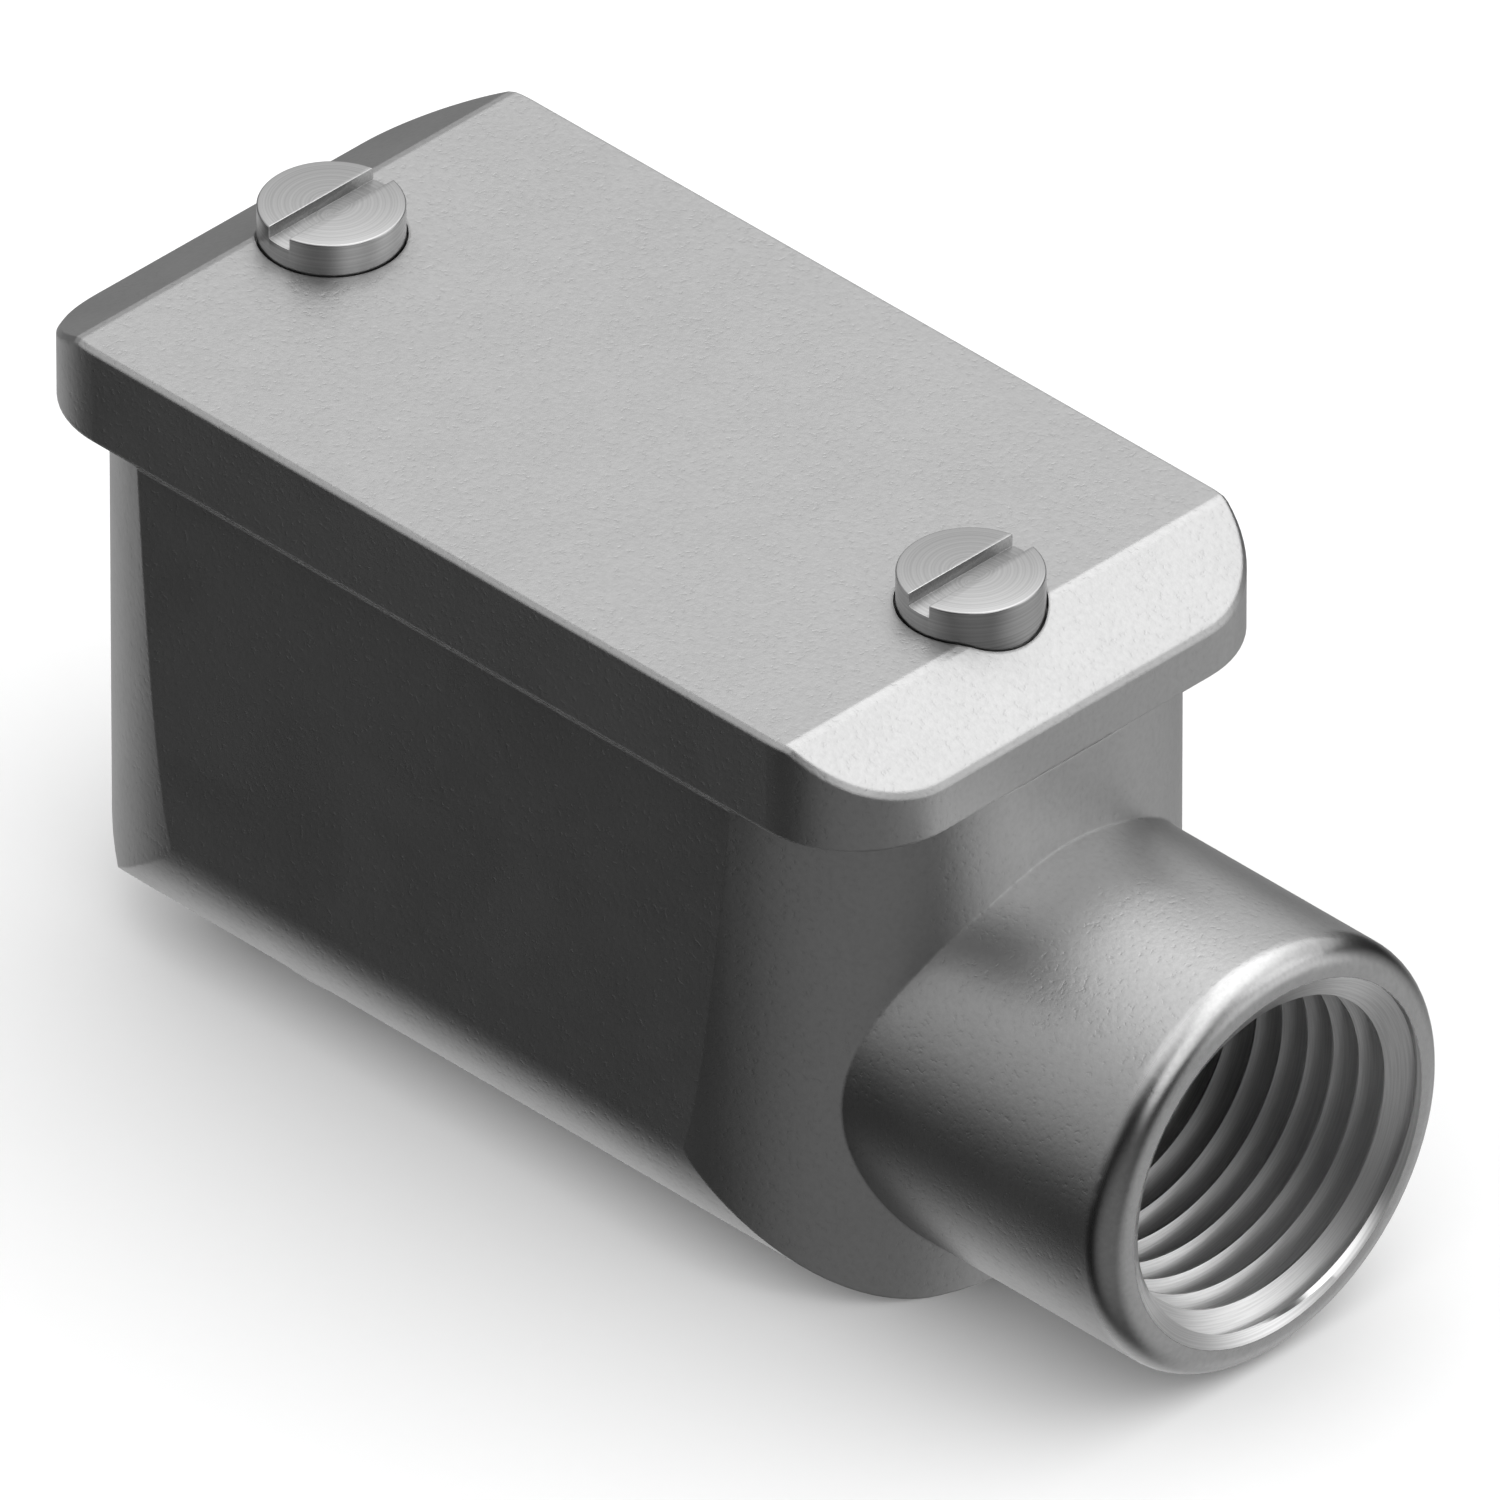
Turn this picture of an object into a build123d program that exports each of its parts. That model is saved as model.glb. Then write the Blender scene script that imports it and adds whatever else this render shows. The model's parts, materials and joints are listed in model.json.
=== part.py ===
"""Service entrance elbow for 1/2 in threaded conduit.

A cast, hollow elbow body with a threaded hub at its front end and a second one in its flat
bottom, closed by a cast cover that two slotted screws hold down on a gasket.

All sizes are in millimetres. The origin is the centre of the back hub's mouth, on the flat
bottom. +X points out of the front hub and +Z points up through the cover.
"""

from build123d import *
import math
import os

# Conduit hubs
pipe_radius = 10.67
hub_wall = 1.93
mouth_ring = 0.30
front_hub_reach = 15.57
front_thread_depth = 15.30
back_thread_depth = 9.40
throat_radius = 7.80
throat_lip = 1.40
back_shoulder = 2.60
hub_above_base = 0.05

# Cast body
body_length = 62.20
body_width = 32.40
body_height = 30.64
body_corner = 12.95
bottom_round = 8.00
heel_radius = 14.80
side_draft = 1.37
body_wall = 2.40
plan_margin = 0.03
back_hub_from_rear = 18.09
web_length = 15.00

# Cover screws, number 8 with 32 threads to the inch
screw_from_end = 7.84
screw_radius = 2.083
screw_length = 12.70
screw_tip = 0.50
head_radius = 3.94
head_height = 2.90
head_rise = 1.95
head_edge = 0.12
slot_width = 1.52
slot_depth = 0.74

# Screw bosses in the body
boss_radius = 3.90
boss_length = 8.70
boss_edge = 1.20
tapped_clearance = 0.05

# Gasket
gasket_thickness = 0.80
gasket_inset = 0.30
gasket_width = 2.30

# Cover
front_overhang = 0.78
side_overhang = 0.73
cover_corner = 6.56
cover_thickness = 5.82
cover_end_thickness = 2.92
cover_slope_length = 5.20
cover_roof = 2.60
cover_edge = 0.25
recess_inset = 0.60
screw_hole_clearance = 0.30
head_clearance = 0.12
cover_boss_margin = 0.30

# Room that a cutter needs past the material that it opens
past = 1.0


def side_half_width(height):
    """Half the body's width at a height: the sides lean outwards on the way down."""
    return body_width / 2 - math.tan(math.radians(side_draft)) * (height - bottom_round)


# Heights and places that follow from the sizes above
hub_radius = pipe_radius + hub_wall
hub_lip = hub_wall - mouth_ring
hub_axis_z = hub_radius + hub_above_base
rear_x = -back_hub_from_rear
front_x = rear_x + body_length
body_mid_x = (rear_x + front_x) / 2
front_mouth_x = front_x + front_hub_reach
cover_length = body_length + front_overhang
cover_width = 2 * (side_half_width(body_height) + side_overhang)
cover_z = body_height + gasket_thickness
cover_top_z = cover_z + cover_thickness
cover_mid_x = rear_x + cover_length / 2
seat_z = cover_top_z + head_rise - head_height
rear_screw_x = rear_x + screw_from_end
front_screw_x = rear_x + cover_length - screw_from_end


def plan(inset):
    """The body's outline seen from above, moved inwards by an inset."""
    outline = RectangleRounded(
        body_length - 2 * inset,
        body_width + 2 * plan_margin - 2 * inset,
        body_corner - inset,
    )
    return Pos(body_mid_x, 0, 0) * outline


def rim_plan(inset):
    """The outline of the body's open rim, moved inwards by an inset."""
    band = Rectangle(body_length, 2 * (side_half_width(body_height) - inset))
    return plan(inset) & Pos(body_mid_x, 0, 0) * band


def tub(inset, top):
    """The body's outer form, or with an inset the form of the hollow inside it."""
    slant = inset / math.cos(math.radians(side_draft))
    low, high = side_half_width(inset) - slant, side_half_width(top) - slant
    section = Polyline((-low, inset), (low, inset), (high, top), (-high, top), close=True)
    face = Plane.YZ * make_face(section)
    face = fillet(face.vertices().sort_by(Axis.Z)[:2], bottom_round - inset)
    trough = Pos(body_mid_x, 0, 0) * extrude(face, body_length, both=True)

    behind = rear_x + inset
    side = Polyline((behind, inset), (front_x, inset), (front_x, top), (behind, top), close=True)
    face = Plane.XZ * make_face(side)
    heel = face.vertices().sort_by_distance((behind, 0, inset))[0]
    heeled = extrude(fillet(heel, heel_radius - inset), body_width, both=True)
    return trough & extrude(plan(inset), top) & heeled


def hub_profile(depth):
    """Half section of a solid hub: its mouth is at height 0 and it runs down to -depth."""
    return make_face(
        Polyline((hub_radius, -hub_lip), (hub_radius, -depth), (0, -depth), (0, 0))
        + Line((0, 0), (hub_radius - hub_lip, 0))
        + RadiusArc((hub_radius - hub_lip, 0), (hub_radius, -hub_lip), hub_lip)
    )


def passage_profile(thread_depth, shoulder, beyond):
    """Half section of the way through a hub: pipe bore, shoulder, throat and rounded lip."""
    throat_end = thread_depth + shoulder
    flare = throat_radius + throat_lip
    return make_face(
        Polyline(
            (0, past),
            (pipe_radius, past),
            (pipe_radius, -thread_depth),
            (throat_radius, -thread_depth),
            (throat_radius, -(throat_end - throat_lip)),
        )
        + RadiusArc((throat_radius, -(throat_end - throat_lip)), (flare, -throat_end), throat_lip)
        + Polyline((flare, -throat_end), (flare, -throat_end - beyond), (0, -throat_end - beyond), (0, past))
    )


def turned(profile):
    """A half section turned about the Z axis."""
    return revolve(Plane.XZ * profile, Axis.Z)


def at_front(solid):
    """A shape with its mouth at height 0, placed as the front hub, mouth towards +X."""
    return Pos(front_mouth_x, 0, hub_axis_z) * Rot(0, 90, 0) * solid


def at_back(solid):
    """A shape with its mouth at height 0, placed as the back hub, mouth downwards."""
    return Rot(180, 0, 0) * solid


def boss_plan(screw_x, radius):
    """A screw boss seen from above: round at the screw, and carried back to the end wall."""
    towards = 1 if screw_x > body_mid_x else -1
    end_x = front_x if towards > 0 else rear_x
    reach = abs(end_x - screw_x)
    arm = Pos(screw_x + towards * reach / 2, 0, 0) * Rectangle(reach, 2 * radius)
    return Pos(screw_x, 0, 0) * Circle(radius) + arm


def screw_boss(screw_x):
    """The boss that a cover screw is tapped into, hanging from the rim at the end wall."""
    low_z = body_height - boss_length
    boss = Pos(0, 0, low_z) * extrude(boss_plan(screw_x, boss_radius), boss_length)
    return chamfer(boss.edges().group_by(Axis.Z)[0], boss_edge)


def make_body():
    """The cast body, with both hubs, their throats and the two tapped screw bosses."""
    outer = tub(0, body_height)
    front_root = front_hub_reach + body_corner
    outer += at_front(turned(hub_profile(front_root)))
    back_depth = back_thread_depth + back_shoulder
    outer += at_back(turned(hub_profile(back_depth)))

    hollow = tub(body_wall, body_height + past)
    hub_boss = at_back(turned(hub_profile(back_depth)))
    webs = Pos(0, 0, back_depth / 2) * Box(web_length, body_width, back_depth)
    hollow -= hub_boss + webs
    for screw_x in (rear_screw_x, front_screw_x):
        hollow -= screw_boss(screw_x)

    body = outer - hollow
    front_shoulder = front_hub_reach + body_wall - front_thread_depth
    body -= at_front(turned(passage_profile(front_thread_depth, front_shoulder, body_corner / 2)))
    body -= at_back(turned(passage_profile(back_thread_depth, back_shoulder, past)))
    tapped = Cylinder(screw_radius + tapped_clearance, 2 * (boss_length + past))
    for screw_x in (rear_screw_x, front_screw_x):
        body -= Pos(screw_x, 0, body_height) * tapped
    return body


def make_gasket():
    """The flat gasket on the rim, with an ear and a hole at each screw."""
    ring = rim_plan(gasket_inset) - rim_plan(gasket_inset + gasket_width)
    ears = Sketch() + [boss_plan(x, boss_radius - gasket_inset) for x in (rear_screw_x, front_screw_x)]
    ring += ears & rim_plan(gasket_inset)
    for screw_x in (rear_screw_x, front_screw_x):
        ring -= Pos(screw_x, 0, 0) * Circle(screw_radius + screw_hole_clearance)
    return Pos(0, 0, body_height) * extrude(ring, gasket_thickness)


def make_cover():
    """The cast cover: flat on top, sloping down at both ends and hollow underneath."""
    outline = Pos(cover_mid_x, 0, cover_z) * RectangleRounded(cover_length, cover_width, cover_corner)
    slab = extrude(outline, cover_thickness)
    half = cover_length / 2
    side = Polyline(
        (-half, 0),
        (half, 0),
        (half, cover_end_thickness),
        (half - cover_slope_length, cover_thickness),
        (cover_slope_length - half, cover_thickness),
        (-half, cover_end_thickness),
        close=True,
    )
    profile = Pos(cover_mid_x, 0, cover_z) * (Plane.XZ * make_face(side))
    cover = slab & extrude(profile, cover_width, both=True)
    top_edges = cover.edges().filter_by(lambda e: e.center().Z > cover_z + cover_edge)
    upright = top_edges.filter_by(Axis.Z)
    cover = chamfer(top_edges - upright, cover_edge)

    recess_depth = cover_thickness - cover_roof
    recess = Pos(0, 0, cover_z) * extrude(rim_plan(body_wall + recess_inset), recess_depth)
    hole = Cylinder(screw_radius + screw_hole_clearance, 4 * cover_thickness)
    seat_radius = head_radius + head_clearance
    boss = Cylinder(seat_radius + cover_boss_margin, 2 * recess_depth)
    for screw_x in (rear_screw_x, front_screw_x):
        recess -= Pos(screw_x, 0, cover_z) * boss
    cover -= recess
    seat_cut = extrude(Circle(seat_radius), cover_thickness)
    for screw_x in (rear_screw_x, front_screw_x):
        cover -= Pos(screw_x, 0, cover_z) * hole
        cover -= Pos(screw_x, 0, seat_z) * seat_cut
    return cover


def make_screw(screw_x):
    """A slotted cover screw, its head on the seat in the cover, its slot across the elbow."""
    head = extrude(Circle(head_radius), head_height)
    head = chamfer(head.edges().group_by(Axis.Z)[-1], head_edge)
    slot = Pos(0, 0, head_height) * Box(slot_width, 4 * head_radius, 2 * slot_depth)
    shank = extrude(Circle(screw_radius), -screw_length)
    shank = chamfer(shank.edges().group_by(Axis.Z)[0], screw_tip)
    return Pos(screw_x, 0, seat_z) * (head - slot + shank)


os.makedirs("parts", exist_ok=True)
export_step(make_body(), "parts/body.step")
export_step(make_gasket(), "parts/gasket.step")
export_step(make_cover(), "parts/cover.step")
export_step(make_screw(front_screw_x), "parts/front_cover_screw.step")
export_step(make_screw(rear_screw_x), "parts/rear_cover_screw.step")
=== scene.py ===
"""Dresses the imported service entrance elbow: cast zinc, cut threads, cover screws and a soft studio.

Lengths are in metres and the named angles in degrees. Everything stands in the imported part's frame.
"""

import json
import logging
import math
from abc import ABC, abstractmethod
from dataclasses import dataclass, field
from enum import Enum
from typing import Callable, Iterable

import bmesh
import bpy
from mathutils import Matrix, Vector


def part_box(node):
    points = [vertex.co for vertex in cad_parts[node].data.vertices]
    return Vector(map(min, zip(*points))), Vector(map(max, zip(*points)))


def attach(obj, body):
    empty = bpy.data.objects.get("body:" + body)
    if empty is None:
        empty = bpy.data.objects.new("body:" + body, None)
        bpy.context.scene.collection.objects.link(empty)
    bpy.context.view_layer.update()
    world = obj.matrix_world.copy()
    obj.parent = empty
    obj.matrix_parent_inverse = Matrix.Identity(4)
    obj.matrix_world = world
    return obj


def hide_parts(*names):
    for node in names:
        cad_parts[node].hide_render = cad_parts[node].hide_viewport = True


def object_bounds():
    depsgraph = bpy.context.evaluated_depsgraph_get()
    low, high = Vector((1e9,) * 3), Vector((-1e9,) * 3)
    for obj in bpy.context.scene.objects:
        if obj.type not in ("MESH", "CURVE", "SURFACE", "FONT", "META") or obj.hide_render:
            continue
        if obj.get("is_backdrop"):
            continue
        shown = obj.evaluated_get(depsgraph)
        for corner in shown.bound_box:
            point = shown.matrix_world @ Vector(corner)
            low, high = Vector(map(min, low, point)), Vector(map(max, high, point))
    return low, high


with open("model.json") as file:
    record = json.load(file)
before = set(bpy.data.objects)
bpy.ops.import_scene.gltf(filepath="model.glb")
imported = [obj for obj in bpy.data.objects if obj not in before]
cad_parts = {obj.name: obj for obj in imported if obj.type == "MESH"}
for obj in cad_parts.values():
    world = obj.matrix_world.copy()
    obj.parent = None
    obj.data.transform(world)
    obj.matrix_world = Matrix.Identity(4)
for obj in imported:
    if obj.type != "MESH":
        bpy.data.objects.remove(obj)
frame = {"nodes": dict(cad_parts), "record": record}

MM = 0.001
MERGE_DISTANCE = 0.001 * MM
SHARP_ANGLE = 30.0
THREAD_SHARP_ANGLE = 24.0

Colour = tuple[float, float, float, float]
Triple = tuple[float, float, float]
Span = tuple[float, ...]
Limit = Callable[[float, float, float], float]

log = logging.getLogger("elbow")


class Slot(Enum):
    """Two of the record's material slot names; no built piece is given one here."""

    CAST_BODY = "cast_body"
    SCREW = "zinc_screw"


class Body(Enum):
    """The moving bodies that the built pieces ride on."""

    HOUSING = "housing"
    FRONT_SCREW = "front_screw"
    REAR_SCREW = "rear_screw"


class Operation(Enum):
    """What one solid does to another."""

    CUT = "DIFFERENCE"
    JOIN = "UNION"


# Node tree helper


class NodeSheet:
    """Places nodes in one tree and joins them, so that a finish reads as a short list of steps."""

    def __init__(self, tree: bpy.types.NodeTree) -> None:
        """Starts on a material's, world's or group's node tree."""
        self.tree = tree

    def add(self, kind: str, settings: dict | None = None, **inputs: object) -> bpy.types.Node:
        """Adds a node, sets its options and fills its sockets.

        Args:
            kind: the node's type name, without the "ShaderNode" in front.
            settings: options of the node itself, by attribute name.
            inputs: socket values or output sockets to join, by socket name with _ for a space.

        Returns:
            The new node.
        """
        node = self.tree.nodes.new("ShaderNode" + kind)
        for name, value in (settings or {}).items():
            setattr(node, name, value)
        for name, value in inputs.items():
            self.fill(node, name.replace("_", " "), value)
        return node

    def fill(self, node: bpy.types.Node, socket: str | int, value: object) -> None:
        """Sets a socket to a value, or joins an output socket to it.

        Args:
            node: the node that takes the value.
            socket: the socket's name or number.
            value: a number, a tuple or another node's output socket.
        """
        if isinstance(value, bpy.types.NodeSocket):
            self.tree.links.new(value, node.inputs[socket])
        else:
            node.inputs[socket].default_value = value

    def math(self, operation: str, *values: object, clamp: bool = False) -> bpy.types.NodeSocket:
        """Adds a Math node.

        Args:
            operation: the operation's name, such as "MULTIPLY".
            values: up to three numbers or output sockets.
            clamp: keeps the result between 0 and 1.

        Returns:
            The result's output socket.
        """
        node = self.add("Math", {"operation": operation, "use_clamp": clamp})
        for place, value in enumerate(values):
            self.fill(node, place, value)
        return node.outputs[0]

    def remap(self, value: object, low: float, high: float, to_low: float = 0.0, to_high: float = 1.0,
              soft: bool = True) -> bpy.types.NodeSocket:
        """Maps a range of values to another range.

        Args:
            value: the socket to map.
            low: the value that becomes to_low.
            high: the value that becomes to_high.
            to_low: the result at low.
            to_high: the result at high.
            soft: eases in and out instead of a straight ramp.

        Returns:
            The result's output socket.
        """
        kind = "SMOOTHSTEP" if soft else "LINEAR"
        node = self.add("MapRange", {"interpolation_type": kind}, Value=value)
        for name, number in (("From Min", low), ("From Max", high), ("To Min", to_low), ("To Max", to_high)):
            self.fill(node, name, number)
        return node.outputs["Result"]

    def blend(self, factor: object, first: object, second: object) -> bpy.types.NodeSocket:
        """Mixes two colours.

        Args:
            factor: 0 for the first colour and 1 for the second.
            first: the first colour.
            second: the second colour.

        Returns:
            The mixed colour's output socket.
        """
        node = self.add("Mix", {"data_type": "RGBA"})
        for place, value in ((0, factor), (6, first), (7, second)):
            self.fill(node, place, value)
        return node.outputs[2]


def grey(level: float) -> Colour:
    """A neutral colour of one level."""
    return (level, level, level, 1.0)


# Shared surface effects, each a node group that is built once


class Effect(ABC):
    """A surface effect that several finishes share, kept as one node group."""

    name: str

    def group(self) -> bpy.types.NodeTree:
        """Finds the effect's node group, or builds it when it is first asked for.

        Returns:
            The node group.
        """
        found = bpy.data.node_groups.get(self.name)
        if found is not None:
            return found
        tree = bpy.data.node_groups.new(self.name, "ShaderNodeTree")
        self.build(tree)
        return tree

    @abstractmethod
    def build(self, tree: bpy.types.NodeTree) -> None:
        """Fills the group's new, empty tree."""

    @staticmethod
    def sockets(tree: bpy.types.NodeTree, inputs: Iterable[tuple[str, str, object]],
                outputs: Iterable[tuple[str, str]]) -> tuple[bpy.types.Node, bpy.types.Node]:
        """Makes the group's named sockets.

        Args:
            tree: the group's tree.
            inputs: name, kind and first value of each input.
            outputs: name and kind of each output.

        Returns:
            The group's input node and output node.
        """
        make = tree.interface.new_socket
        for name, kind, value in inputs:
            socket = make(name=name, in_out="INPUT", socket_type="NodeSocket" + kind)
            if value is not None:
                socket.default_value = value
        for name, kind in outputs:
            make(name=name, in_out="OUTPUT", socket_type="NodeSocket" + kind)
        return tree.nodes.new("NodeGroupInput"), tree.nodes.new("NodeGroupOutput")

    def place(self, sheet: NodeSheet, **inputs: object) -> bpy.types.Node:
        """Places the effect in a material, with that material's values, and returns its node."""
        return sheet.add("Group", {"node_tree": self.group()}, **inputs)


class CastGrain(Effect):
    """The skin of a sand casting: a fine sand grain, a coarser roll and a few shallow pits."""

    name = "cast_grain"
    pit_range: Span = (0.40, 0.28)
    sand_height: float = 0.75
    roll_height: float = 0.55
    pit_height: float = 0.55
    sand_tone: float = 0.8
    roll_tone: float = 0.2
    pit_tone: float = 0.25

    def build(self, tree: bpy.types.NodeTree) -> None:
        """Fills the group's tree.

        Args:
            tree: the new, empty tree.
        """
        given, made = self.sockets(
            tree,
            [("Vector", "Vector", None), ("Grain Size", "Float", 0.35 * MM), ("Roll Size", "Float", 3 * MM),
             ("Pitting", "Float", 0.5)],
            [("Height", "Float"), ("Tone", "Float")],
        )
        sheet = NodeSheet(tree)
        grain_scale = sheet.math("DIVIDE", 1.0, given.outputs["Grain Size"])
        roll_scale = sheet.math("DIVIDE", 1.0, given.outputs["Roll Size"])
        place = given.outputs["Vector"]
        sand = sheet.add("TexNoise", Vector=place, Scale=grain_scale, Detail=2.0, Roughness=0.55).outputs[0]
        roll = sheet.add("TexNoise", Vector=place, Scale=roll_scale, Detail=1.0, Roughness=0.5).outputs[0]
        pits = sheet.math("MULTIPLY", sheet.remap(sand, *self.pit_range), given.outputs["Pitting"])
        height = sheet.math("ADD", sheet.math("MULTIPLY", sand, self.sand_height),
                            sheet.math("MULTIPLY", roll, self.roll_height))
        height = sheet.math("SUBTRACT", height, sheet.math("MULTIPLY", pits, self.pit_height))
        tone = sheet.math("ADD", sheet.math("MULTIPLY", roll, self.roll_tone),
                          sheet.math("MULTIPLY", sand, self.sand_tone))
        tone = sheet.math("SUBTRACT", tone, sheet.math("MULTIPLY", pits, self.pit_tone), clamp=True)
        sheet.fill(made, "Height", height)
        sheet.fill(made, "Tone", tone)


class EdgeWear(Effect):
    """Edges that handling has rubbed bright, and the small round that every real edge has."""

    name = "edge_wear"
    turned_range: Span = (0.995, 0.86)
    shelter_rounds: float = 3.0
    proud_range: Span = (0.70, 0.95)
    broken_range: Span = (0.35, 0.62, 0.35, 1.0)

    def build(self, tree: bpy.types.NodeTree) -> None:
        """Fills the group's tree.

        Args:
            tree: the new, empty tree.
        """
        given, made = self.sockets(
            tree,
            [("Vector", "Vector", None), ("Edge Round", "Float", 0.2 * MM),
             ("Breakup Size", "Float", 1.2 * MM)],
            [("Mask", "Float"), ("Normal", "Vector")],
        )
        sheet = NodeSheet(tree)
        rounded = sheet.add("Bevel", {"samples": 2}, Radius=given.outputs["Edge Round"])
        plain = sheet.add("NewGeometry")
        match = sheet.add("VectorMath", {"operation": "DOT_PRODUCT"})
        sheet.fill(match, 0, rounded.outputs["Normal"])
        sheet.fill(match, 1, plain.outputs["Normal"])
        edge = sheet.remap(match.outputs["Value"], *self.turned_range)
        reach = sheet.math("MULTIPLY", given.outputs["Edge Round"], self.shelter_rounds)
        shelter = sheet.add("AmbientOcclusion", {"samples": 1}, Distance=reach)
        proud = sheet.remap(shelter.outputs["AO"], *self.proud_range)
        scale = sheet.math("DIVIDE", 1.0, given.outputs["Breakup Size"])
        noise = sheet.add("TexNoise", Vector=given.outputs["Vector"], Scale=scale, Detail=1.0)
        broken = sheet.remap(noise.outputs[0], *self.broken_range)
        worn = sheet.math("MULTIPLY", sheet.math("MULTIPLY", edge, proud), broken, clamp=True)
        sheet.fill(made, "Mask", worn)
        sheet.fill(made, "Normal", rounded.outputs["Normal"])


class Handling(Effect):
    """Soft, wide patches where the surface has been touched and wiped."""

    name = "handling"
    patch_range: Span = (0.34, 0.68)

    def build(self, tree: bpy.types.NodeTree) -> None:
        """Fills the group's tree.

        Args:
            tree: the new, empty tree.
        """
        given, made = self.sockets(
            tree, [("Vector", "Vector", None), ("Patch Size", "Float", 9 * MM)], [("Mask", "Float")]
        )
        sheet = NodeSheet(tree)
        scale = sheet.math("DIVIDE", 1.0, given.outputs["Patch Size"])
        warp = sheet.add("TexNoise", Vector=given.outputs["Vector"], Scale=scale, Detail=2.0,
                         Roughness=0.6, Distortion=0.8)
        sheet.fill(made, "Mask", sheet.remap(warp.outputs[0], *self.patch_range))


class TurningMarks(Effect):
    """Fine rings that a lathe tool leaves round an axis along the vector's Z."""

    name = "turning_marks"

    def build(self, tree: bpy.types.NodeTree) -> None:
        """Fills the group's tree.

        Args:
            tree: the new, empty tree.
        """
        given, made = self.sockets(
            tree, [("Vector", "Vector", None), ("Spacing", "Float", 0.1 * MM)], [("Height", "Float")]
        )
        sheet = NodeSheet(tree)
        parts = sheet.add("SeparateXYZ", Vector=given.outputs["Vector"])
        flat = sheet.add("CombineXYZ", X=parts.outputs["X"], Y=parts.outputs["Y"])
        away = sheet.add("VectorMath", {"operation": "LENGTH"})
        sheet.fill(away, 0, flat.outputs[0])
        rings = sheet.add("CombineXYZ", X=away.outputs["Value"], Y=parts.outputs["Z"])
        scale = sheet.math("DIVIDE", 1.0, given.outputs["Spacing"])
        noise = sheet.add("TexNoise", {"noise_dimensions": "2D"}, Vector=rings.outputs[0], Scale=scale,
                          Detail=2.0)
        sheet.fill(made, "Height", noise.outputs[0])


class PaintedRecessShade(Effect):
    """Painted shade: a mask that darkens the colour in slots and where one surface stands on another, found
    by ambient occlusion and broken up by noise.
    """

    name = "painted_shade"
    sheltered_range: Span = (0.95, 0.25)
    broken_range: Span = (0.30, 0.70, 0.70, 1.0)

    def build(self, tree: bpy.types.NodeTree) -> None:
        """Fills the group's tree.

        Args:
            tree: the new, empty tree.
        """
        given, made = self.sockets(
            tree,
            [("Vector", "Vector", None), ("Reach", "Float", 1.2 * MM), ("Breakup Size", "Float", 0.8 * MM)],
            [("Mask", "Float")],
        )
        sheet = NodeSheet(tree)
        shelter = sheet.add("AmbientOcclusion", {"samples": 4}, Distance=given.outputs["Reach"])
        # painted shade: the mask grows where the ambient occlusion finds less open room
        in_shade = sheet.remap(shelter.outputs["AO"], *self.sheltered_range)
        scale = sheet.math("DIVIDE", 1.0, given.outputs["Breakup Size"])
        noise = sheet.add("TexNoise", Vector=given.outputs["Vector"], Scale=scale, Detail=2.0)
        broken = sheet.remap(noise.outputs[0], *self.broken_range)
        sheet.fill(made, "Mask", sheet.math("MULTIPLY", in_shade, broken))


# Finishes


class Finish(ABC):
    """A procedural material with its own values."""

    name: str

    def material(self) -> bpy.types.Material:
        """Finds the finish's material, or builds it when it is first asked for.

        Returns:
            The material.
        """
        found = bpy.data.materials.get(self.name)
        if found is not None:
            return found
        made = bpy.data.materials.new(self.name)
        made.use_nodes = True
        made.node_tree.nodes.clear()
        sheet = NodeSheet(made.node_tree)
        surface = self.surface(sheet)
        output = sheet.add("OutputMaterial")
        made.node_tree.links.new(surface.outputs[0], output.inputs["Surface"])
        return made

    @abstractmethod
    def surface(self, sheet: NodeSheet) -> bpy.types.Node:
        """Builds the shader on the material's sheet and returns its node."""

    def dress(self, piece: bpy.types.Object) -> None:
        """Gives a piece this finish and nothing else."""
        piece.data.materials.clear()
        piece.data.materials.append(self.material())


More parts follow.
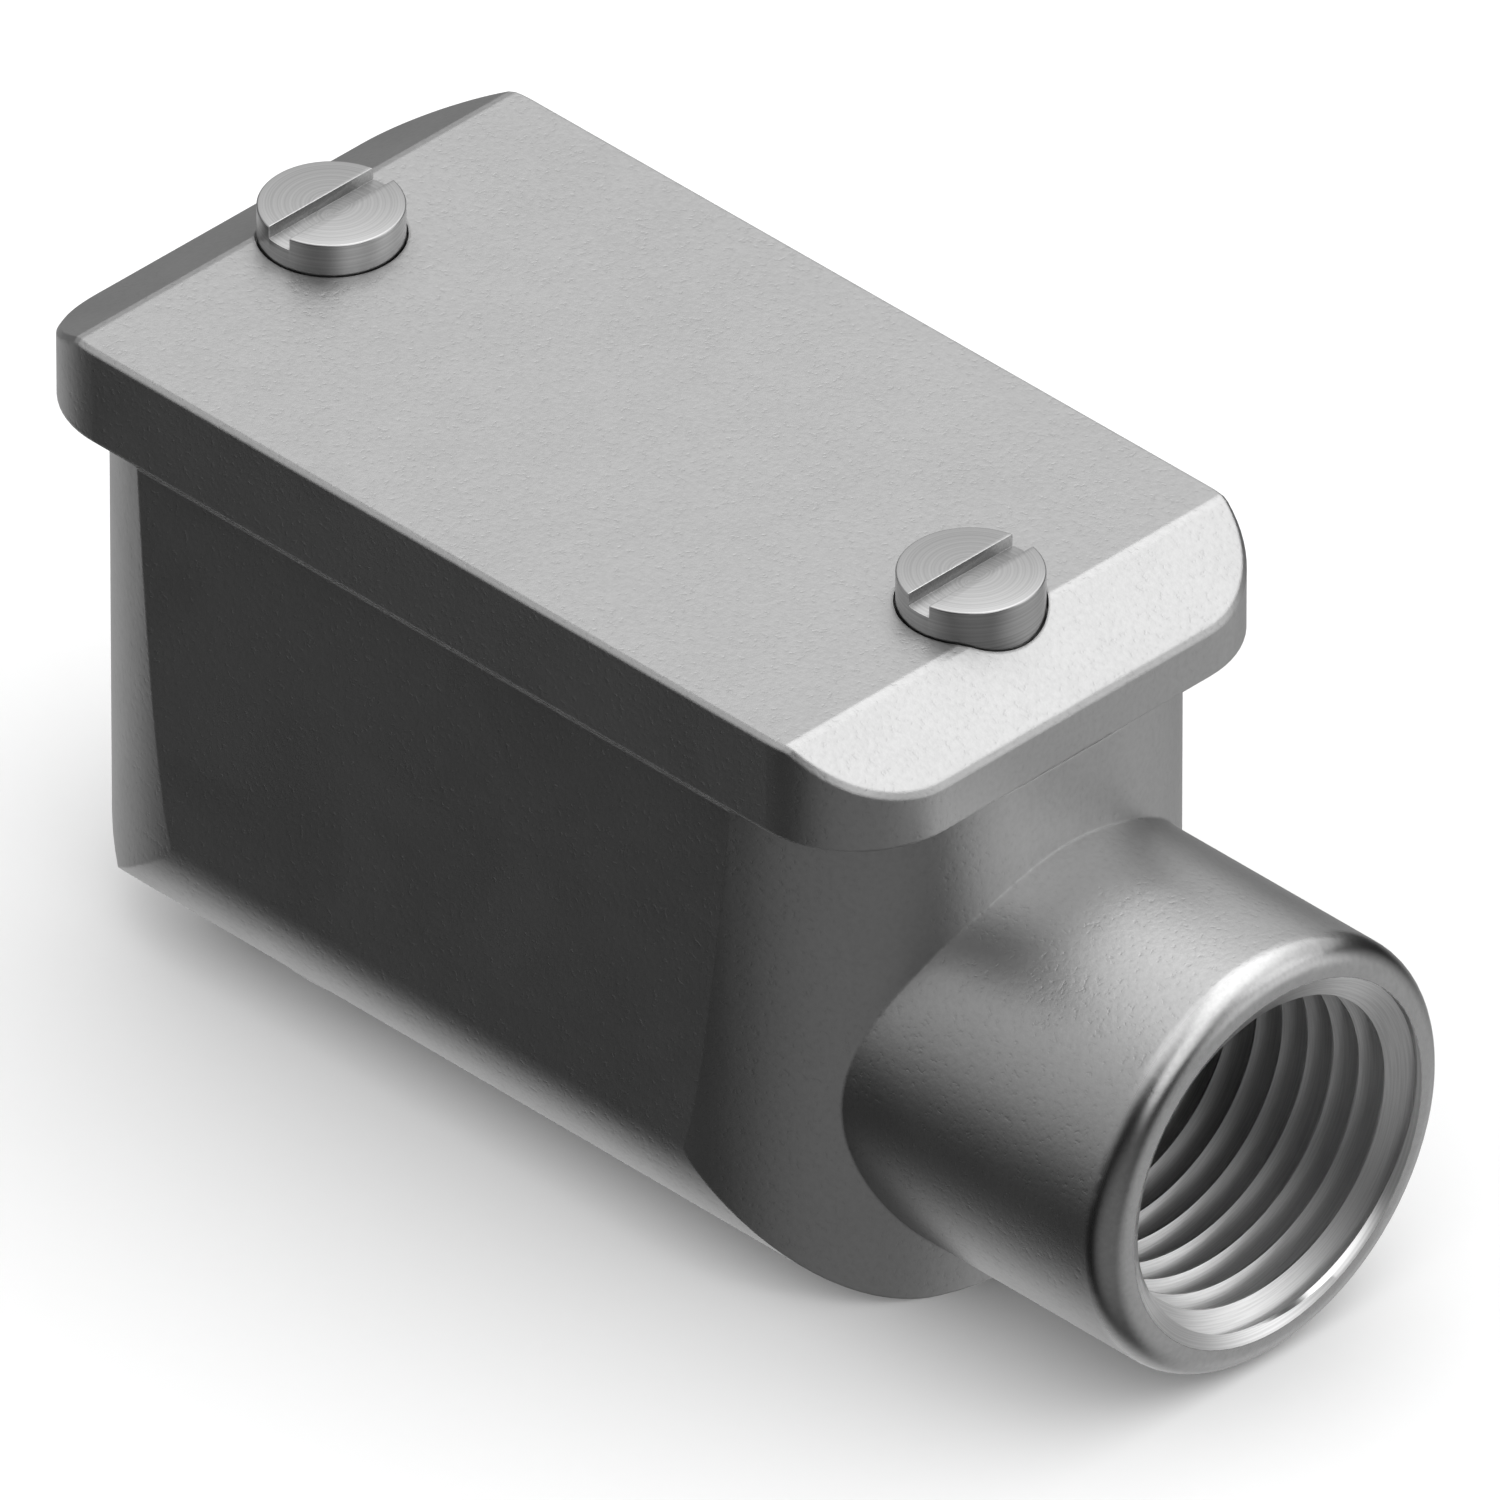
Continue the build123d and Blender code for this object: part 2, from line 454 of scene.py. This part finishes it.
@dataclass(frozen=True)
class CastZinc(Finish):
    """Zinc plated malleable iron: satin grey, with cast grain and edges rubbed bright."""

    name: str = "cast_zinc"
    shade: float = 0.50
    shade_spread: float = 0.02
    tone_range: Span = (0.30, 0.68)
    worn_shade: float = 0.56
    worn_polish: float = 0.12
    roughness: float = 0.40
    roughness_spread: float = 0.01
    grain_size: float = 0.34 * MM
    roll_size: float = 3.2 * MM
    grain_depth: float = 0.016 * MM
    pitting: float = 0.5
    edge_round: float = 0.22 * MM
    ground_from_x: float | None = None
    ground_to_x: float = 0.0
    ground_roughness: float = 0.24
    ground_edge_round: float = 0.04 * MM
    ground_grain: float = 0.2

    def surface(self, sheet: NodeSheet) -> bpy.types.Node:
        """Builds the shader.

        Args:
            sheet: the material's node sheet.

        Returns:
            The shader node.
        """
        place = sheet.add("TexCoord").outputs["Object"]
        grain = CastGrain().place(sheet, Vector=place, Grain_Size=self.grain_size, Roll_Size=self.roll_size,
                                  Pitting=self.pitting)
        ground, edge_round = None, self.edge_round
        if self.ground_from_x is not None:
            along = sheet.add("SeparateXYZ", Vector=place).outputs["X"]
            ground = sheet.remap(along, self.ground_from_x, self.ground_to_x)
            edge_round = sheet.remap(ground, 0.0, 1.0, self.edge_round, self.ground_edge_round, soft=False)
        wear = EdgeWear().place(sheet, Vector=place, Edge_Round=edge_round)
        touched = Handling().place(sheet, Vector=place)

        low, high = self.shade - self.shade_spread, self.shade + self.shade_spread
        skin = sheet.blend(sheet.remap(grain.outputs["Tone"], *self.tone_range), grey(low), grey(high))
        colour = sheet.blend(wear.outputs["Mask"], skin, grey(self.worn_shade))

        rough = sheet.remap(touched.outputs["Mask"], 0.0, 1.0, self.roughness + self.roughness_spread,
                            self.roughness - self.roughness_spread, soft=False)
        rough = sheet.math("SUBTRACT", rough, sheet.math("MULTIPLY", wear.outputs["Mask"], self.worn_polish))
        height = grain.outputs["Height"]
        if ground is not None:
            change = sheet.math("SUBTRACT", self.ground_roughness, rough)
            rough = sheet.math("MULTIPLY_ADD", ground, change, rough)
            share = sheet.remap(ground, 0.0, 1.0, 1.0, self.ground_grain, soft=False)
            height = sheet.math("MULTIPLY", height, share)

        bump = sheet.add("Bump", Strength=1.0, Distance=self.grain_depth, Height=height,
                         Normal=wear.outputs["Normal"])
        return sheet.add("BsdfPrincipled", Base_Color=colour, Metallic=1.0, Roughness=rough,
                         Normal=bump.outputs[0])


@dataclass(frozen=True)
class CutMetal(Finish):
    """Metal that a tap or die has just cut: brighter than the cast skin, with fine tool rings."""

    name: str = "cut_metal"
    shade: float = 0.60
    shade_spread: float = 0.06
    roughness: float = 0.27
    roughness_spread: float = 0.02
    ring_range: Span = (0.3, 0.7)
    ring_spacing: float = 0.09 * MM
    ring_depth: float = 0.0025 * MM
    axis_place: Triple = (0.0, 0.0, 0.0)
    axis_turn: Triple = (0.0, 0.0, 0.0)
    # painted shade in slots and at a head's foot: its strength and the grey it darkens to
    painted_shade: float = 0.0
    painted_shade_grey: float = 0.10

    def surface(self, sheet: NodeSheet) -> bpy.types.Node:
        """Builds the shader.

        Args:
            sheet: the material's node sheet.

        Returns:
            The shader node.
        """
        place = sheet.add("TexCoord").outputs["Object"]
        on_axis = sheet.add("Mapping", {"vector_type": "TEXTURE"}, Vector=place, Location=self.axis_place,
                            Rotation=self.axis_turn)
        rings = TurningMarks().place(sheet, Vector=on_axis.outputs[0], Spacing=self.ring_spacing)
        low, high = self.shade - self.shade_spread, self.shade + self.shade_spread
        ring = rings.outputs["Height"]
        colour = sheet.blend(sheet.remap(ring, *self.ring_range), grey(low), grey(high))
        # painted shade: darkens the colour where ambient occlusion finds a recess
        if self.painted_shade > 0.0:
            outcome = PaintedRecessShade().place(sheet, Vector=place).outputs["Mask"]
            colour = sheet.blend(sheet.math("MULTIPLY", outcome, self.painted_shade), colour, grey(self.painted_shade_grey))
        rough = sheet.remap(ring, *self.ring_range, self.roughness + self.roughness_spread,
                            self.roughness - self.roughness_spread)
        bump = sheet.add("Bump", Strength=1.0, Distance=self.ring_depth, Height=ring)
        return sheet.add("BsdfPrincipled", Base_Color=colour, Metallic=1.0, Roughness=rough,
                         Normal=bump.outputs[0])


@dataclass(frozen=True)
class GasketRubber(Finish):
    """Black sheet rubber with a fine speckle and a dull sheen."""

    name: str = "gasket_rubber"
    shade: float = 0.030
    shade_range: Span = (0.7, 1.4)
    roughness: float = 0.68
    roughness_spread: float = 0.08
    speckle_size: float = 0.12 * MM
    speckle_depth: float = 0.006 * MM
    roll_size: float = 1.5 * MM
    pitting: float = 0.2
    patch_size: float = 6 * MM

    def surface(self, sheet: NodeSheet) -> bpy.types.Node:
        """Builds the shader.

        Args:
            sheet: the material's node sheet.

        Returns:
            The shader node.
        """
        place = sheet.add("TexCoord").outputs["Object"]
        grain = CastGrain().place(sheet, Vector=place, Grain_Size=self.speckle_size,
                                  Roll_Size=self.roll_size, Pitting=self.pitting)
        touched = Handling().place(sheet, Vector=place, Patch_Size=self.patch_size)
        low, high = (self.shade * share for share in self.shade_range)
        colour = sheet.blend(grain.outputs["Tone"], grey(low), grey(high))
        rough = sheet.remap(touched.outputs["Mask"], 0.0, 1.0, self.roughness + self.roughness_spread,
                            self.roughness - self.roughness_spread)
        bump = sheet.add("Bump", Strength=1.0, Distance=self.speckle_depth, Height=grain.outputs["Height"])
        return sheet.add("BsdfPrincipled", Base_Color=colour, Roughness=rough, Normal=bump.outputs[0])


@dataclass(frozen=True)
class StudioPaper(Finish):
    """The pale matt paper that the elbow lies on."""

    name: str = "studio_paper"
    shade: float = 0.90
    fibre_shade: float = 0.99
    fibre_scale: float = 900.0
    roughness: float = 0.9

    def surface(self, sheet: NodeSheet) -> bpy.types.Node:
        """Builds the shader.

        Args:
            sheet: the material's node sheet.

        Returns:
            The shader node.
        """
        place = sheet.add("TexCoord").outputs["Object"]
        fibre = sheet.add("TexNoise", Vector=place, Scale=self.fibre_scale, Detail=4.0)
        colour = sheet.blend(fibre.outputs[0], grey(self.shade * self.fibre_shade), grey(self.shade))
        return sheet.add("BsdfPrincipled", Base_Color=colour, Roughness=self.roughness)


# Thread forms


@dataclass(frozen=True)
class ThreadForm:
    """A 60 degree screw thread on a straight or tapered core, along its own Z axis.

    Heights are measured from start_z, which is also where the helix has its phase.
    """

    pitch: float
    crest_radius: float
    root_radius: float
    taper: float = 0.0
    flat: float = 0.06
    start_z: float = 0.0
    flank_rows: int = 3

    def groove(self, turn: float) -> float:
        """How deep the thread is cut at a place in its pitch.

        Args:
            turn: the place in pitches; whole numbers are the middle of a crest.

        Returns:
            0 on the crest and 1 at the root.
        """
        from_crest = abs(turn - round(turn))
        flank = 0.5 - self.flat
        return min(1.0, max(0.0, (from_crest - self.flat / 2) / flank))

    def radius(self, angle: float, z: float, strength: float = 1.0) -> float:
        """The surface's distance from the axis.

        Args:
            angle: the angle round the axis in radians.
            z: the height along the axis.
            strength: 1 for the full thread and 0 where it has run out.

        Returns:
            The radius in metres.
        """
        along = z - self.start_z
        turn = along / self.pitch - angle / (2 * math.pi)
        shrink = along * self.taper
        crest = self.crest_radius + shrink
        return crest + (self.root_radius - self.crest_radius) * self.groove(turn) * strength

    def stations(self) -> list[float]:
        """Lists the places in one pitch where the section has its rows of points.

        Returns:
            The places, in pitches from the middle of a crest.
        """
        half, rows = self.flat / 2, self.flank_rows
        flank = [half + (0.5 - self.flat) * step / rows for step in range(rows + 1)]
        return [-value for value in reversed(flank)] + flank

    def surface(self, low: float, high: float, segments: int,
                limit: Limit) -> tuple[list[Vector], list[tuple[int, ...]]]:
        """The threaded surface between two heights, its rows of points following the helix.

        Args:
            low: the lower end.
            high: the upper end.
            segments: points round the axis.
            limit: takes angle, z and the thread's radius and returns the final radius.

        Returns:
            Points and faces. Rows past an end lie on it and are merged later.
        """
        rows = self.stations()
        per_turn = len(rows)
        first = math.floor((low - self.start_z) / self.pitch) - 1
        last = math.ceil((high - self.start_z) / self.pitch) + 1
        heights = [self.start_z + self.pitch * (turn + row)
                   for turn in range(first, last + 1) for row in rows]
        points: list[Vector] = []
        for step in range(segments):
            angle = 2 * math.pi * step / segments
            for height in heights:
                z = min(high, max(low, height + self.pitch * step / segments))
                r = limit(angle, z, self.radius(angle, z))
                points.append(Vector((r * math.cos(angle), r * math.sin(angle), z)))
        faces: list[tuple[int, ...]] = []
        count = len(heights)
        for step in range(segments):
            closing = step + 1 == segments
            start = per_turn if closing else (step + 1) * count
            joined = count - 1 - (per_turn if closing else 0)
            for row in range(joined):
                here, over = step * count + row, start + row
                faces.append((here, over, over + 1, here + 1))
        return points, faces

    def solid(self, low: float, high: float, segments: int, limit: Limit,
              wall: float | None = None) -> bmesh.types.BMesh:
        """The threaded surface as a closed solid.

        Args:
            low: the lower end.
            high: the upper end.
            segments: points round the axis.
            limit: takes angle, z and the thread's radius and returns the final radius.
            wall: the radius of the hidden wall of a sleeve, or None for a solid shank.

        Returns:
            The solid's geometry.
        """
        points, faces = self.surface(low, high, segments, limit)
        built = bmesh.new()
        verts = [built.verts.new(point) for point in points]
        for face in faces:
            built.faces.new([verts[place] for place in face])
        bmesh.ops.remove_doubles(built, verts=built.verts, dist=MERGE_DISTANCE)
        bmesh.ops.dissolve_degenerate(built, dist=MERGE_DISTANCE, edges=built.edges)
        loose = [vert for vert in built.verts if not vert.link_faces]
        bmesh.ops.delete(built, geom=loose, context="VERTS")
        close_ends(built, wall)
        return built


def mesh_object(name: str, built: bmesh.types.BMesh,
                smooth_below: float = SHARP_ANGLE) -> bpy.types.Object:
    """Turns a bmesh into an object in the scene.

    Args:
        name: the piece's name.
        built: the geometry. It is freed.
        smooth_below: faces that meet at less than this angle, in degrees, are shaded as one.

    Returns:
        The new object.
    """
    bmesh.ops.recalc_face_normals(built, faces=built.faces)
    mesh = bpy.data.meshes.new(name)
    built.to_mesh(mesh)
    built.free()
    mesh.shade_smooth()
    mesh.set_sharp_from_angle(angle=math.radians(smooth_below))
    made = bpy.data.objects.new(name, mesh)
    bpy.context.scene.collection.objects.link(made)
    return made


def close_ends(built: bmesh.types.BMesh, wall: float | None) -> None:
    """Closes both ends of a threaded surface, with a hidden outer wall or with flat caps.

    Args:
        built: the surface, open at both ends.
        wall: the radius of the hidden wall of a sleeve, or None for a solid shank.
    """
    ends = [edge for edge in built.edges if edge.is_boundary]
    if wall is None:
        bmesh.ops.holes_fill(built, edges=ends, sides=0)
        return
    skirts = bmesh.ops.extrude_edge_only(built, edges=ends)["geom"]
    for vert in (part for part in skirts if isinstance(part, bmesh.types.BMVert)):
        flat = vert.co.xy.normalized() * wall
        vert.co = Vector((flat.x, flat.y, vert.co.z))
    outer = [part for part in skirts if isinstance(part, bmesh.types.BMEdge) and part.is_boundary]
    bmesh.ops.bridge_loops(built, edges=outer)


def combine(piece: bpy.types.Object, tool: bpy.types.Object, operation: Operation) -> None:
    """Cuts a solid out of a piece or joins it on, and removes the solid.

    Args:
        piece: the piece that changes.
        tool: the other solid.
        operation: what the solid does to the piece.
    """
    step = piece.modifiers.new(operation.name.lower(), "BOOLEAN")
    step.object, step.operation, step.solver = tool, operation.value, "EXACT"
    settle(piece)
    bpy.data.objects.remove(tool)


def settle(piece: bpy.types.Object) -> None:
    """Turns a piece's modifiers into mesh.

    Args:
        piece: the piece, which keeps no modifier.
    """
    graph = bpy.context.evaluated_depsgraph_get()
    outcome = bpy.data.meshes.new_from_object(piece.evaluated_get(graph))
    piece.modifiers.clear()
    piece.data = outcome


# Sub-assemblies


@dataclass
class HubThread:
    """The tapered pipe thread that is cut into one hub, with its countersunk mouth."""

    name: str
    mount: dict
    pitch: float = 25.4 / 14 * MM
    depth_of_thread: float = 1.38 * MM
    taper: float = 1 / 32
    wall_clearance: float = 0.02 * MM
    countersink: float = 0.9 * MM
    shoulder_gap: float = 0.05 * MM
    run_out: float = 1.6 * MM
    run_out_start: float = 0.25
    shade: float = 0.80
    roughness: float = 0.31
    segments: int = 288

    def build(self) -> bpy.types.Object:
        """Builds the threaded sleeve inside the hub's bore.

        Returns:
            The piece, in the frame.
        """
        bore = self.mount["dims"]["r_mm"] * MM
        length = self.mount["dims"]["length_mm"] * MM - self.shoulder_gap
        root = bore - self.wall_clearance
        form = ThreadForm(self.pitch, root - self.depth_of_thread, root, taper=self.taper)

        def limit(angle: float, z: float, r: float) -> float:
            """Runs the thread out near the shoulder and opens the mouth with a countersink.

            Args:
                angle: the angle round the axis.
                z: the height, 0 at the mouth.
                r: the full thread's radius.

            Returns:
                The final radius.
            """
            bare = form.radius(angle, z, strength=0.0)
            left = (z + length) / self.run_out
            share = min(1.0, max(0.0, left - self.run_out_start))
            r = bare + (r - bare) * share * share * (3 - 2 * share)
            return max(r, root + z * self.depth_of_thread / self.countersink)

        built = form.solid(-length, 0.0, self.segments, limit, wall=bore + self.wall_clearance / 2)
        bmesh.ops.transform(built, matrix=self.placing(), verts=built.verts)
        return mesh_object(self.name, built, smooth_below=THREAD_SHARP_ANGLE)

    def placing(self) -> Matrix:
        """Finds where the thread goes.

        Returns:
            The matrix from the thread's own axes to the hub's mouth.
        """
        axis = Vector(self.mount["axis"])
        turn = Vector((0, 0, 1)).rotation_difference(axis).to_matrix().to_4x4()
        return Matrix.Translation(Vector(self.mount["pos_m"])) @ turn

    def dress(self, piece: bpy.types.Object) -> None:
        """Gives the thread its cut finish and fixes it to the housing.

        Args:
            piece: the threaded sleeve.
        """
        place = tuple(self.mount["pos_m"])
        turn = tuple(self.placing().to_euler())
        CutMetal(name=self.name + "_metal", shade=self.shade, roughness=self.roughness,
                 axis_place=place, axis_turn=turn).dress(piece)
        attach(piece, Body.HOUSING.value)


@dataclass
class CoverScrew:
    """A slotted cheese head machine screw with its real thread, in place of a plain CAD screw."""

    node: str
    body: Body
    pitch: float = 25.4 / 32 * MM
    thread_depth: float = 0.47 * MM
    head_height: float = 2.90 * MM
    shank_radius: float = 2.083 * MM
    slot_width: float = 1.52 * MM
    slot_depth: float = 0.74 * MM
    head_edge: float = 0.12 * MM
    edge_steps: int = 4
    underside_edge: float = 0.10 * MM
    broken_edge: float = 0.035 * MM
    broken_steps: int = 2
    broken_above: float = 50.0
    tip: float = 0.45 * MM
    tip_slope: float = 1.2
    neck_pitches: float = 1.2
    shank_lap: float = 0.2 * MM
    segments: int = 56
    head_segments: int = 128
    axis: Vector = field(init=False)
    head_radius: float = field(init=False)
    top_z: float = field(init=False)
    seat_z: float = field(init=False)
    tip_z: float = field(init=False)

    def __post_init__(self) -> None:
        """Reads the screw's place and size from its CAD node."""
        low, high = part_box(self.node)
        self.axis = (low + high) / 2
        self.head_radius = (high.x - low.x) / 2
        self.top_z = high.z
        self.seat_z = high.z - self.head_height
        self.tip_z = low.z

    def head(self) -> bmesh.types.BMesh:
        """The head before its slot is milled: a disc with a rounded top edge.

        Returns:
            The head's geometry, its axis at the origin.
        """
        r, edge, base, top = self.head_radius, self.head_edge, self.seat_z, self.top_z
        under = self.underside_edge
        profile = [(r - under, base), (r, base + under), (r, top - edge)]
        for step in range(1, self.edge_steps + 1):
            a = math.radians(90 * step / self.edge_steps)
            profile.append((r - edge + edge * math.cos(a), top - edge + edge * math.sin(a)))
        built = bmesh.new()
        rings = [[built.verts.new((out * math.cos(a), out * math.sin(a), z)) for a in self.turns()]
                 for out, z in profile]
        built.faces.new(rings[0])
        built.faces.new(rings[-1])
        for lower, upper in zip(rings, rings[1:]):
            for step in range(self.head_segments):
                after = (step + 1) % self.head_segments
                built.faces.new((lower[step], lower[after], upper[after], upper[step]))
        return built

    def turns(self) -> list[float]:
        """Angles of the points round the head."""
        return [2 * math.pi * (step + 0.5) / self.head_segments for step in range(self.head_segments)]

    def mill_slot(self, head: bpy.types.Object) -> None:
        """Cuts the slot out of the head.

        Args:
            head: the solid head. Its mesh is replaced by the slotted one.
        """
        cutter = bmesh.new()
        bmesh.ops.create_cube(cutter, size=1.0)
        size = Vector((self.slot_width, 4 * self.head_radius, 2 * self.slot_depth))
        bmesh.ops.scale(cutter, vec=size, verts=cutter.verts)
        bmesh.ops.translate(cutter, vec=(0, 0, self.top_z), verts=cutter.verts)
        combine(head, mesh_object("slot_cutter", cutter), Operation.CUT)
        bevel = head.modifiers.new("broken_edges", "BEVEL")
        bevel.width, bevel.segments = self.broken_edge, self.broken_steps
        bevel.limit_method, bevel.angle_limit = "ANGLE", math.radians(self.broken_above)
        settle(head)

    def shank(self) -> bmesh.types.BMesh:
        """The threaded shank, from inside the head to the chamfered tip.

        Returns:
            The shank's geometry, its axis at the origin.
        """
        crest, neck = self.shank_radius, self.shank_radius - self.thread_depth
        form = ThreadForm(self.pitch, crest, neck, start_z=self.seat_z)

        def limit(angle: float, z: float, r: float) -> float:
            """Chamfers the tip and leaves a short plain neck under the head.

            Args:
                angle: the angle round the axis; not used.
                z: the height.
                r: the full thread's radius.

            Returns:
                The final radius.
            """
            from_head = (self.seat_z - z) / (self.neck_pitches * self.pitch)
            share = min(1.0, max(0.0, from_head))
            r = neck + (r - neck) * share
            return min(r, crest - self.tip + (z - self.tip_z) * self.tip_slope)

        return form.solid(self.tip_z, self.seat_z + self.shank_lap, self.segments, limit)

    def build(self) -> bpy.types.Object:
        """Builds the whole screw as one piece.

        Returns:
            The screw, in the frame.
        """
        head = mesh_object(self.node + "_head", self.head())
        self.mill_slot(head)
        combine(head, mesh_object(self.node + "_shank", self.shank()), Operation.JOIN)
        whole = bmesh.new()
        whole.from_mesh(head.data)
        bpy.data.objects.remove(head)
        bmesh.ops.translate(whole, vec=(self.axis.x, self.axis.y, 0), verts=whole.verts)
        return mesh_object(self.node + "_dressed", whole, smooth_below=THREAD_SHARP_ANGLE)

    def dress(self, piece: bpy.types.Object) -> None:
        """Gives the screw its zinc finish and puts it in the CAD screw's place.

        Args:
            piece: the screw.
        """
        # painted shade darkens the screw's slot and the foot of its head
        finish = CutMetal(name=self.node + "_zinc", shade=0.50, shade_spread=0.05, roughness=0.30,
                          ring_spacing=0.14 * MM, axis_place=(self.axis.x, self.axis.y, 0.0), painted_shade=0.7)
        finish.dress(piece)
        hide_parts(self.node)
        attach(piece, self.body.value)


@dataclass
class Castings:
    """The CAD castings and gasket, which keep their shapes and get their finishes."""

    lip_width: float = 1.9 * MM
    lip_full: float = 0.6
    finishes: dict[str, Finish] = field(init=False)

    def __post_init__(self) -> None:
        """Chooses each node's finish; the hub's lip is ground smoother than the rest."""
        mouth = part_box("body")[1].x
        body = CastZinc(name="cast_zinc_body", ground_from_x=mouth - self.lip_width,
                        ground_to_x=mouth - self.lip_width * self.lip_full)
        self.finishes = {"body": body, "cover": CastZinc(name="cast_zinc_cover"), "gasket": GasketRubber()}

    def dress(self) -> None:
        """Gives each node its finish."""
        for node, finish in self.finishes.items():
            finish.dress(frame["nodes"][node])
            log.info("dressed CAD node %s as %s", node, finish.name)


# Studio


@dataclass(frozen=True)
class Softbox:
    """A soft area light that looks at the elbow."""

    name: str
    azimuth: float
    elevation: float
    distance: float
    size: float
    power: float

    def build(self, target: Vector) -> None:
        """Hangs the light.

        Args:
            target: the point that it looks at.
        """
        light = bpy.data.lights.new(self.name, "AREA")
        light.shape, light.size, light.energy = "SQUARE", self.size, self.power
        lamp = bpy.data.objects.new(self.name, light)
        bpy.context.scene.collection.objects.link(lamp)
        towards = direction(self.azimuth, self.elevation)
        lamp.location = target + towards * self.distance
        lamp.rotation_euler = (-towards).to_track_quat("-Z", "Y").to_euler()


@dataclass(frozen=True)
class Glow:
    """A wide, soft patch of light in the room, which only shows in the metal."""

    towards: Triple
    strength: float
    edge: float
    full: float = 1.0

    def level(self, sheet: NodeSheet, ray: bpy.types.NodeSocket) -> bpy.types.NodeSocket:
        """How much of the glow a ray meets.

        Args:
            sheet: the world's node sheet.
            ray: the ray's direction.

        Returns:
            The glow's level, its strength at the middle and 0 past its edge.
        """
        near = sheet.add("VectorMath", {"operation": "DOT_PRODUCT"})
        sheet.fill(near, 0, ray)
        sheet.fill(near, 1, tuple(Vector(self.towards).normalized()))
        return sheet.remap(near.outputs["Value"], self.edge, self.full, 0.0, self.strength)


def direction(azimuth: float, elevation: float) -> Vector:
    """The unit vector from the elbow to a camera or lamp; azimuth 0 is at -Y and 90 at +X, in degrees."""
    a, e = math.radians(azimuth), math.radians(elevation)
    return Vector((math.sin(a) * math.cos(e), -math.cos(a) * math.cos(e), math.sin(e)))


@dataclass
class Studio:
    """The pale floor, the soft light and the camera at the picture's isometric angle."""

    floor_size: float = 6.0
    floor_cells: int = 8
    floor_gap: float = 0.02 * MM
    backdrop: float = 0.97
    floor_light: float = 1.15
    room_level: float = 0.008
    # What the metal's faces, slopes and rounds mirror, each patch by the way that it lies in
    glows: tuple[Glow, ...] = (
        Glow((0.0, 0.0, 1.0), 1.06, edge=0.55),
        Glow((0.25, 0.53, 0.81), 0.60, edge=0.70),
        Glow((-0.58, 0.58, 0.58), 0.71, edge=0.70),
        Glow((-0.60, -0.50, 0.60), 0.58, edge=0.55),
        Glow((0.60, 0.60, -0.50), 0.51, edge=0.60),
        Glow((0.60, -0.60, -0.50), 0.20, edge=0.60),
        Glow((0.80, -0.20, 0.56), 1.35, edge=0.88),
        Glow((0.80, 0.58, 0.21), 0.80, edge=0.85),
        Glow((-0.40, 0.40, -0.80), 0.50, edge=0.60),
        Glow((-0.50, -0.05, -0.86), 0.12, edge=0.80),
        Glow((-0.80, 0.15, -0.55), 0.19, edge=0.80),
    )
    lamps: tuple[Softbox, ...] = (
        Softbox("key", azimuth=155, elevation=54, distance=1.0, size=1.6, power=4.4),
    )
    camera_azimuth: float = 45.0
    camera_elevation: float = math.degrees(math.atan(math.sqrt(0.5)))
    frame_width: float = 78.51 * MM
    lens: float = 1600.0
    sensor: float = 36.0
    clip_near: float = 0.1
    clip_far: float = 3.0

    def build(self, target: Vector) -> None:
        """Builds everything round the elbow.

        Args:
            target: the middle of the elbow.
        """
        self.floor()
        self.world()
        for lamp in self.lamps:
            lamp.build(target)
        self.camera(target)
        bpy.context.scene.view_settings.view_transform = "Standard"

    def floor(self) -> None:
        """Lays the pale floor under the elbow."""
        built = bmesh.new()
        bmesh.ops.create_grid(built, x_segments=self.floor_cells, y_segments=self.floor_cells,
                              size=self.floor_size / 2)
        floor = mesh_object("studio_floor", built)
        floor.location.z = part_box("body")[0].z - self.floor_gap
        StudioPaper().dress(floor)
        floor.visible_glossy = False
        floor.visible_shadow = False
        floor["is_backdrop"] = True

    def world(self) -> None:
        """Lights the room: the glows for reflections, and one level each for the floor and backdrop."""
        world = bpy.data.worlds.new("studio")
        world.use_nodes = True
        world.node_tree.nodes.clear()
        bpy.context.scene.world = world
        sheet = NodeSheet(world.node_tree)
        ray = sheet.add("TexCoord").outputs["Generated"]
        path = sheet.add("LightPath")
        level: object = self.room_level
        for glow in self.glows:
            level = sheet.math("ADD", level, glow.level(sheet, ray))
        for kind, strength in (("Is Diffuse Ray", self.floor_light), ("Is Camera Ray", self.backdrop)):
            level = sheet.blend(path.outputs[kind], level, grey(strength))
        soft = sheet.add("Background", Color=level, Strength=1.0)
        output = sheet.add("OutputWorld")
        sheet.fill(output, "Surface", soft.outputs[0])

    def camera(self, target: Vector) -> None:
        """Sets the camera: a very long lens, so that the view is nearly parallel as in the picture.

        Args:
            target: the point at the middle of the picture.
        """
        data = bpy.data.cameras.new("portrait")
        data.lens, data.sensor_width = self.lens, self.sensor
        distance = self.frame_width * self.lens / self.sensor
        data.clip_start, data.clip_end = distance * self.clip_near, distance * self.clip_far
        camera = bpy.data.objects.new("portrait", data)
        bpy.context.scene.collection.objects.link(camera)
        back = direction(self.camera_azimuth, self.camera_elevation)
        camera.location = target + back * distance
        camera.rotation_euler = (-back).to_track_quat("-Z", "Y").to_euler()
        bpy.context.scene.camera = camera


def mount(name: str) -> dict:
    """The record's entry for a mount, with its pos_m, axis and dims."""
    return next(m for m in frame["record"]["mounts"] if m["name"] == name)


def main() -> None:
    """Builds and dresses the elbow in order, then the studio round the middle of the CAD parts' box."""
    logging.basicConfig(level=logging.INFO, format="%(name)s: %(message)s")
    cad_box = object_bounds()
    Castings().dress()
    parts = [
        HubThread("front_hub_thread", mount("front_hub")),
        HubThread("back_hub_thread", mount("back_hub")),
        CoverScrew("front_cover_screw", Body.FRONT_SCREW),
        CoverScrew("rear_cover_screw", Body.REAR_SCREW),
    ]
    for part in parts:
        piece = part.build()
        part.dress(piece)
        log.info("built %s with %d faces", piece.name, len(piece.data.polygons))
    Studio().build((cad_box[0] + cad_box[1]) / 2)


if __name__ == "__main__":
    main()
